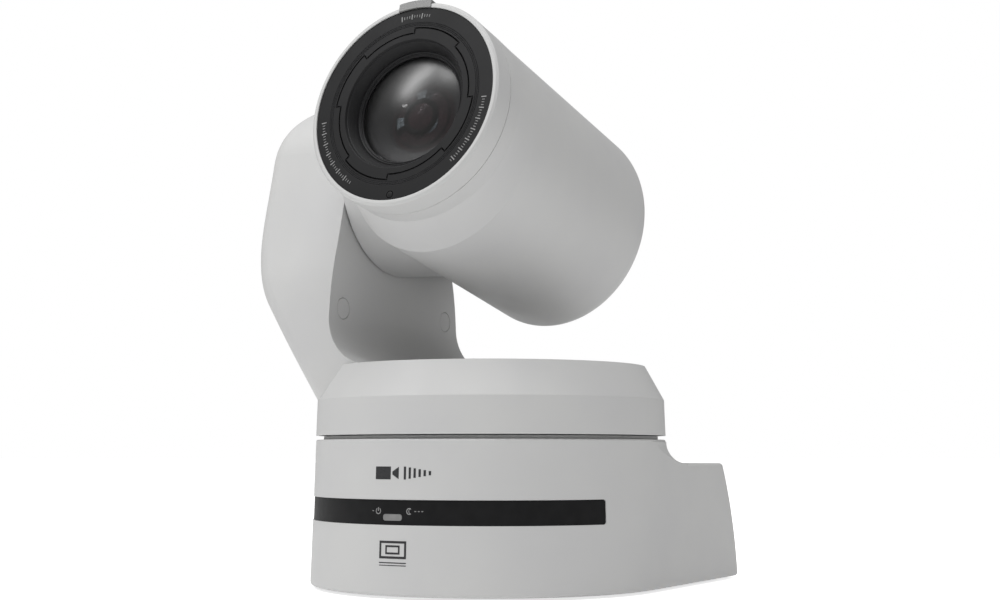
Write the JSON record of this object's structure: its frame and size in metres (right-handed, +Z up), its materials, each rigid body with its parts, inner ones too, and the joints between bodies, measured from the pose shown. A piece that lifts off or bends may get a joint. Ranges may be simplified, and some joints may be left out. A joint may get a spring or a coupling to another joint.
{
  "type": "ptz camera",
  "caption": "Pan-tilt-zoom video camera: D-shaped base, round turntable with a single side arm, and a tilting oval barrel head with a zoom lens.",
  "frame": {"origin": "on the pan axis, at the surface that the rubber feet stand on", "axes": "+Z up along the pan axis; -Y is the front, towards which the lens looks at rest; +X is away from the arm, which stands on the -X side"},
  "size_m": [0.2155, 0.2202, 0.2887],
  "materials": {
    "white_shell": "fine satin moulded",
    "black_trim": "matt black",
    "smoked_window": "smoked, semi gloss",
    "lamp_diffuser": "translucent grey",
    "lens_glass": "coated optical glass",
    "foot_rubber": "matt",
    "cast_aluminium": "as cast",
    "steel": "machined",
    "gear_brass": "machined",
    "gear_plastic": "acetal",
    "nickel": "nickel plated",
    "panel_grey": "powder coated",
    "inlet_black": "matt black",
    "circuit_board": "solder mask",
    "sensor_chip": "ceramic package"
  },
  "bodies": {
    "base": {"base_housing": "white_shell", "base_plate": "cast_aluminium", "tripod_insert": "steel", "rubber_feet": "foot_rubber", "base_screws": "steel", "indicator_window": "smoked_window", "status_light": "lamp_diffuser", "main_board": "circuit_board", "main_heat_sink": "cast_aluminium", "fan_frame": "black_trim", "pan_pillar": "cast_aluminium", "pan_bearings": "steel", "pan_motor": "steel", "dust_seal": "white_shell", "rear_panel": "panel_grey", "bnc_connectors": "nickel", "hdmi_socket": "nickel", "network_sockets": "nickel", "power_inlet": "inlet_black", "switch_body": "black_trim"},
    "turntable": {"turntable_housing": "white_shell", "arm_side_cover": "white_shell", "turntable_plate": "cast_aluminium", "arm_frame": "cast_aluminium", "pan_shaft": "steel", "pan_gear": "gear_plastic", "tilt_bearings": "steel", "tilt_motor": "steel", "screw_plugs": "white_shell"},
    "head": {"head_housing": "white_shell", "front_bezel": "white_shell", "tally_lamp": "lamp_diffuser", "lens_face_ring": "black_trim", "hood_lug_ring": "black_trim", "glass_retainer": "black_trim", "front_glass": "lens_glass", "lens_tube": "black_trim", "fixed_lens": "lens_glass", "guide_rods": "steel", "linear_motor_magnets": "steel", "iris_unit": "black_trim", "iris_blades": "black_trim", "rear_cover": "white_shell", "rear_screws": "steel", "tilt_shaft": "steel", "tilt_gear": "gear_plastic", "head_chassis": "cast_aluminium", "sensor_holder": "cast_aluminium", "image_sensor": "sensor_chip", "sensor_board": "circuit_board", "head_heat_sink": "cast_aluminium"},
    "pan_pinion": {"pan_pinion": "gear_brass"},
    "tilt_pinion": {"tilt_pinion": "gear_brass"},
    "fan_rotor": {"fan_rotor": "black_trim"},
    "mode_switch": {"mode_switch": "black_trim"},
    "zoom_group": {"zoom_carriage": "black_trim", "zoom_lens": "lens_glass"},
    "focus_group": {"focus_carriage": "black_trim", "focus_lens": "lens_glass"},
    "filter_wheel": {"filter_wheel": "black_trim"}
  },
  "joints": [
    {"name": "pan", "type": "hinge", "parent": "base", "child": "turntable", "pos_m": [0, 0, 0.0752], "axis": [0, 0, 1], "range_deg": [-175, 175]},
    {"name": "tilt", "type": "hinge", "parent": "turntable", "child": "head", "pos_m": [0, 0, 0.2163], "axis": [-1, 0, 0], "range_deg": [-42.8, 197.2]},
    {"name": "pan_pinion_spin", "type": "hinge", "parent": "base", "child": "pan_pinion", "pos_m": [0, 0.048, 0.055], "axis": [0, 0, 1], "range_deg": [-876, 876]},
    {"name": "tilt_pinion_spin", "type": "hinge", "parent": "turntable", "child": "tilt_pinion", "pos_m": [-0.091, 0, 0.1763], "axis": [-1, 0, 0], "range_deg": [-790, 172]},
    {"name": "fan_spin", "type": "hinge", "parent": "base", "child": "fan_rotor", "pos_m": [-0.0645, -0.005, 0.033], "axis": [1, 0, 0], "continuous": true},
    {"name": "mode_switch_slide", "type": "slide", "parent": "base", "child": "mode_switch", "axis": [1, 0, 0], "range_m": [0, 0.0034]},
    {"name": "zoom_slide", "type": "slide", "parent": "head", "child": "zoom_group", "axis": [0, -0.9751, 0.2215], "range_m": [-0.015, 0.018]},
    {"name": "focus_slide", "type": "slide", "parent": "head", "child": "focus_group", "axis": [0, -0.9751, 0.2215], "range_m": [-0.01, 0.012]},
    {"name": "filter_wheel_turn", "type": "hinge", "parent": "head", "child": "filter_wheel", "pos_m": [0, 0.03652, 0.22133], "axis": [0, -0.9751, 0.2215], "range_deg": [0, 270]}
  ],
  "couplings": [
    {"joint": "pan_pinion_spin", "follows": "pan", "ratio": -5},
    {"joint": "tilt_pinion_spin", "follows": "tilt", "ratio": -4}
  ]
}
